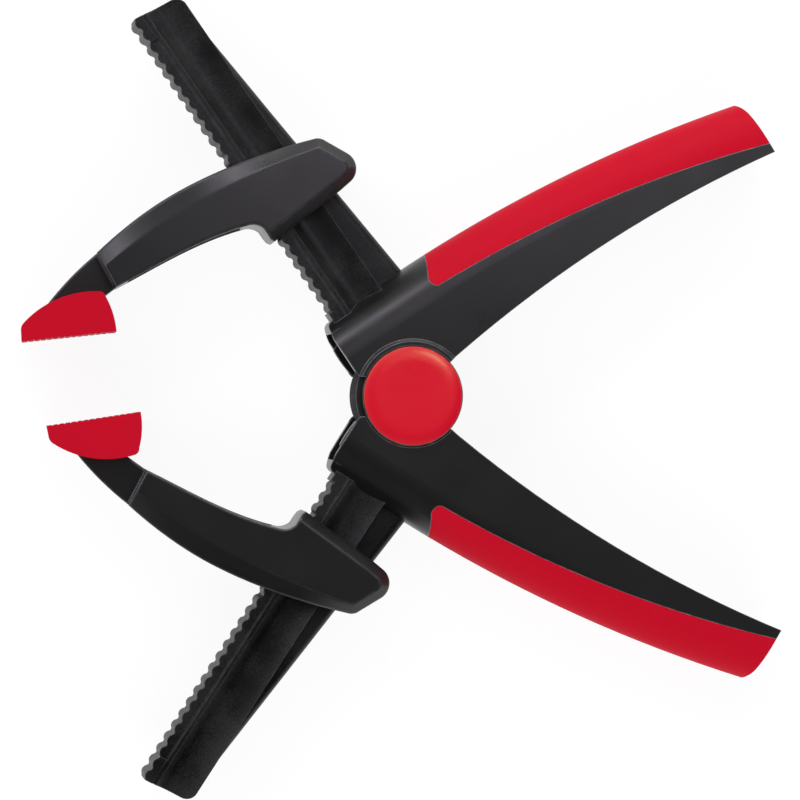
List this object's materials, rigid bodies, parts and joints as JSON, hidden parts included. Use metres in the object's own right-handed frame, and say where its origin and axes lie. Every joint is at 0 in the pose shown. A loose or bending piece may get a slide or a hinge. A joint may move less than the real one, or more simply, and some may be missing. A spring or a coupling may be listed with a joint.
{
  "type": "spring clamp",
  "caption": "Spring clamp with jaws that slide along toothed rails, swivelling pads, curved handles with soft grips, and a torsion spring round the pivot.",
  "frame": {"origin": "on the pivot axis, at the flat outer face of the rear cap, on which the clamp lies", "axes": "+Z along the pivot axis from the rear cap to the front cap, +X between the handles towards their tips, +Y towards the upper handle"},
  "size_m": [0.2096, 0.2206, 0.028],
  "materials": {
    "handle": "fine moulded grain, satin",
    "grip": "soft moulded skin, matt",
    "rail": "fibre-filled plastic, slightly streaked",
    "jaw": "satin moulded plastic",
    "pad": "soft plastic, matt",
    "cap": "satin to gloss moulded plastic",
    "steel": "bright zinc",
    "spring_steel": "drawn wire, oiled"
  },
  "bodies": {
    "lower_handle": {"lower_handle": "handle", "lower_grip": "grip", "lower_rail": "rail", "lower_rail_stop": "rail", "pivot_tube": "steel", "spring_bush": "rail", "torsion_spring": "spring_steel", "front_washer": "steel", "rear_washer": "steel", "front_cap": "cap", "rear_cap": "cap"},
    "upper_handle": {"upper_handle": "handle", "upper_grip": "grip", "upper_rail": "rail", "upper_rail_stop": "rail"},
    "upper_jaw": {"upper_jaw": "jaw", "upper_pad_pin": "steel"},
    "upper_pad": {"upper_pad": "pad"},
    "lower_jaw": {"lower_jaw": "jaw", "lower_pad_pin": "steel"},
    "lower_pad": {"lower_pad": "pad"}
  },
  "joints": [
    {"name": "squeeze", "type": "hinge", "parent": "lower_handle", "child": "upper_handle", "pos_m": [0, 0, 0.014], "axis": [0, 0, -1], "range_deg": [0, 56], "stiffness_Nm_per_rad": 2.2, "springref_deg": -57.3, "deforming": ["torsion_spring"]},
    {"name": "upper_jaw_slide", "type": "slide", "parent": "upper_handle", "child": "upper_jaw", "axis": [-0.5563, 0.831, 0], "range_m": [-0.014, 0.0398]},
    {"name": "upper_pad_tilt", "type": "hinge", "parent": "upper_jaw", "child": "upper_pad", "pos_m": [-0.09854, 0.02272, 0.014], "axis": [0, 0, 1], "range_deg": [-17.4, 4.2]},
    {"name": "lower_jaw_slide", "type": "slide", "parent": "lower_handle", "child": "lower_jaw", "axis": [-0.5563, -0.831, 0], "range_m": [-0.011, 0.0536]},
    {"name": "lower_pad_tilt", "type": "hinge", "parent": "lower_jaw", "child": "lower_pad", "pos_m": [-0.09087, -0.01125, 0.014], "axis": [0, 0, 1], "range_deg": [-17.4, 4.2]}
  ]
}
